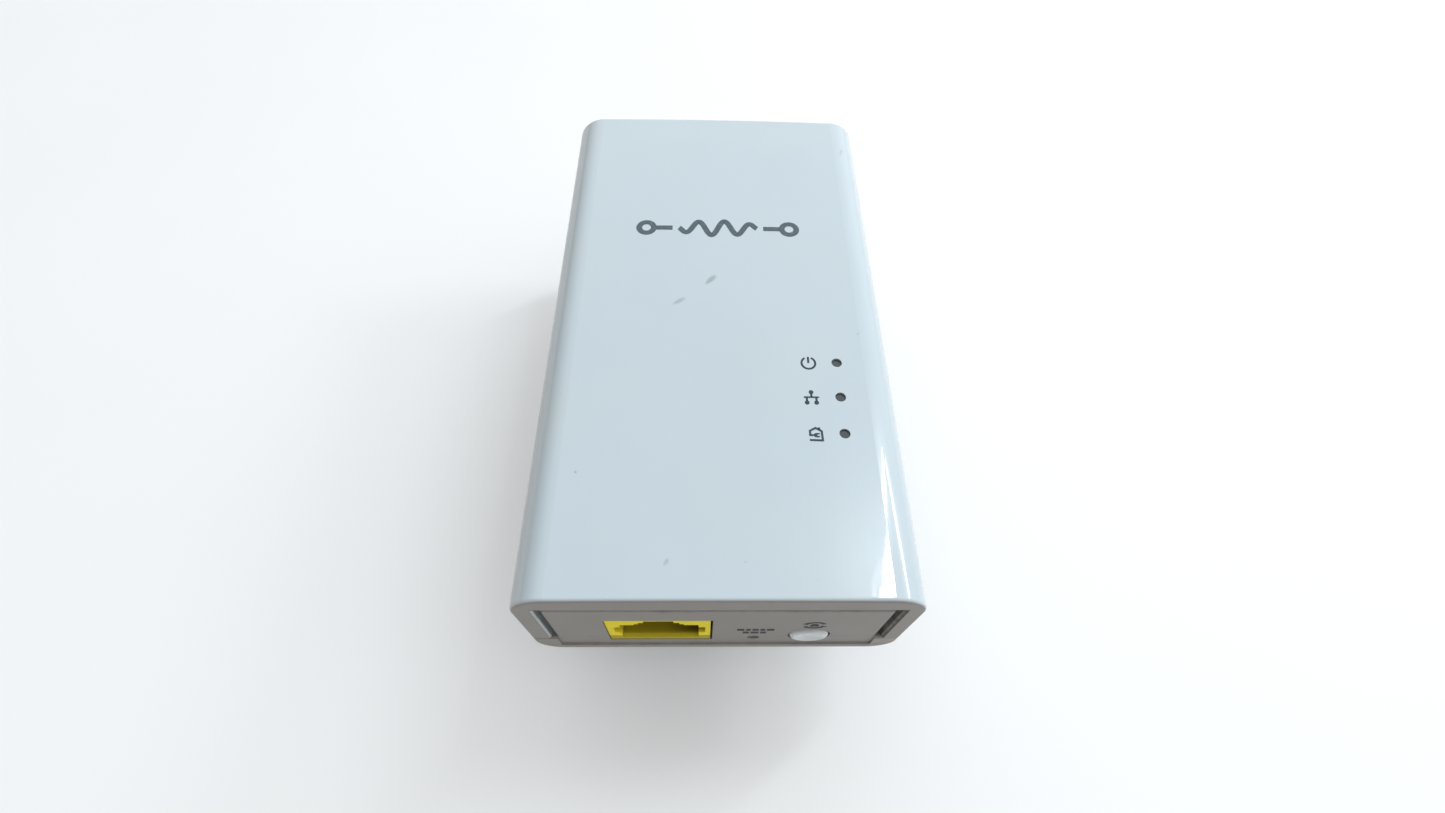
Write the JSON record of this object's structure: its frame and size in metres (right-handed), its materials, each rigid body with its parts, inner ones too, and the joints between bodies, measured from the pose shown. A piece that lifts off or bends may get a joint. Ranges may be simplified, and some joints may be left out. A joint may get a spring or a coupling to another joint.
{
  "type": "powerline adapter",
  "caption": "Plug-in powerline network adapter: white rounded box with a network socket, push button and reset pinhole in one end, status lights on its face and mains prongs behind.",
  "frame": {"origin": "midway between the two mains blades, on the wall plane that the back of the adapter rests against", "axes": "+Z out of the wall through the label face, +Y along the adapter away from the port end, +X to the right looking at the label face with the port end nearest"},
  "size_m": [0.058, 0.1012, 0.047],
  "materials": {
    "cover_white": "polished moulded white",
    "shell_white": "fine spark-eroded grain",
    "base_white": "matte",
    "plug_metal": "nickel plated",
    "jack_yellow": "satin",
    "contact_gold": "gilt",
    "button_white": "satin",
    "switch_black": "matte",
    "plunger_white": "matte",
    "pipe_smoke": "clear polycarbonate seen unlit",
    "lamp_white": "clear resin",
    "board_green": "solder mask",
    "chip_black": "moulded epoxy",
    "pad_grey": "soft silicone",
    "sink_aluminium": "extruded",
    "screw_steel": "zinc plated",
    "label_silver": "blank printed film",
    "film_yellow": "potted box",
    "disc_blue": "dipped epoxy",
    "fuse_ceramic": "ceramic",
    "ferrite": "sintered",
    "winding_copper": "enamelled wire",
    "can_sleeve": "shrunk sleeve",
    "header_black": "moulded"
  },
  "bodies": {
    "casing": {"front_cover": "cover_white", "rear_shell": "shell_white", "case_screws": "screw_steel", "rating_label": "label_silver", "plug_base": "base_white", "line_blade": "plug_metal", "neutral_blade": "plug_metal", "earth_pin": "plug_metal", "main_board": "board_green", "power_board": "board_green", "power_board_screws": "screw_steel", "main_board_screws": "screw_steel", "board_link_header": "header_black", "ethernet_jack": "jack_yellow", "jack_contacts": "contact_gold", "sync_switch": "switch_black", "reset_switch": "switch_black", "light_guide": "pipe_smoke", "powerline_led": "lamp_white", "network_led": "lamp_white", "power_led": "lamp_white", "powerline_chipset": "chip_black", "thermal_pad": "pad_grey", "heatsink": "sink_aluminium", "memory_chip": "chip_black", "flash_chip": "chip_black", "clock_crystal": "screw_steel", "ethernet_transformer": "chip_black", "coupling_transformer_core": "ferrite", "coupling_transformer_coil": "winding_copper", "x2_capacitor": "film_yellow", "varistor": "disc_blue", "fuse": "fuse_ceramic", "bridge_rectifier": "chip_black", "common_mode_choke": "winding_copper", "bulk_capacitors": "can_sleeve", "output_capacitors": "can_sleeve", "output_inductor": "ferrite", "transformer_core": "ferrite", "transformer_winding": "winding_copper", "optocoupler": "chip_black"},
    "sync_button_group": {"sync_button": "button_white", "sync_switch_plunger": "plunger_white"},
    "reset_button_group": {"reset_switch_plunger": "plunger_white"}
  },
  "joints": [
    {"name": "sync_button_press", "type": "slide", "parent": "casing", "child": "sync_button_group", "axis": [0, 1, 0], "range_m": [0, 0.0005], "stiffness_N_per_m": 2000},
    {"name": "reset_button_press", "type": "slide", "parent": "casing", "child": "reset_button_group", "axis": [0, 1, 0], "range_m": [0, 0.0003], "stiffness_N_per_m": 3000}
  ]
}
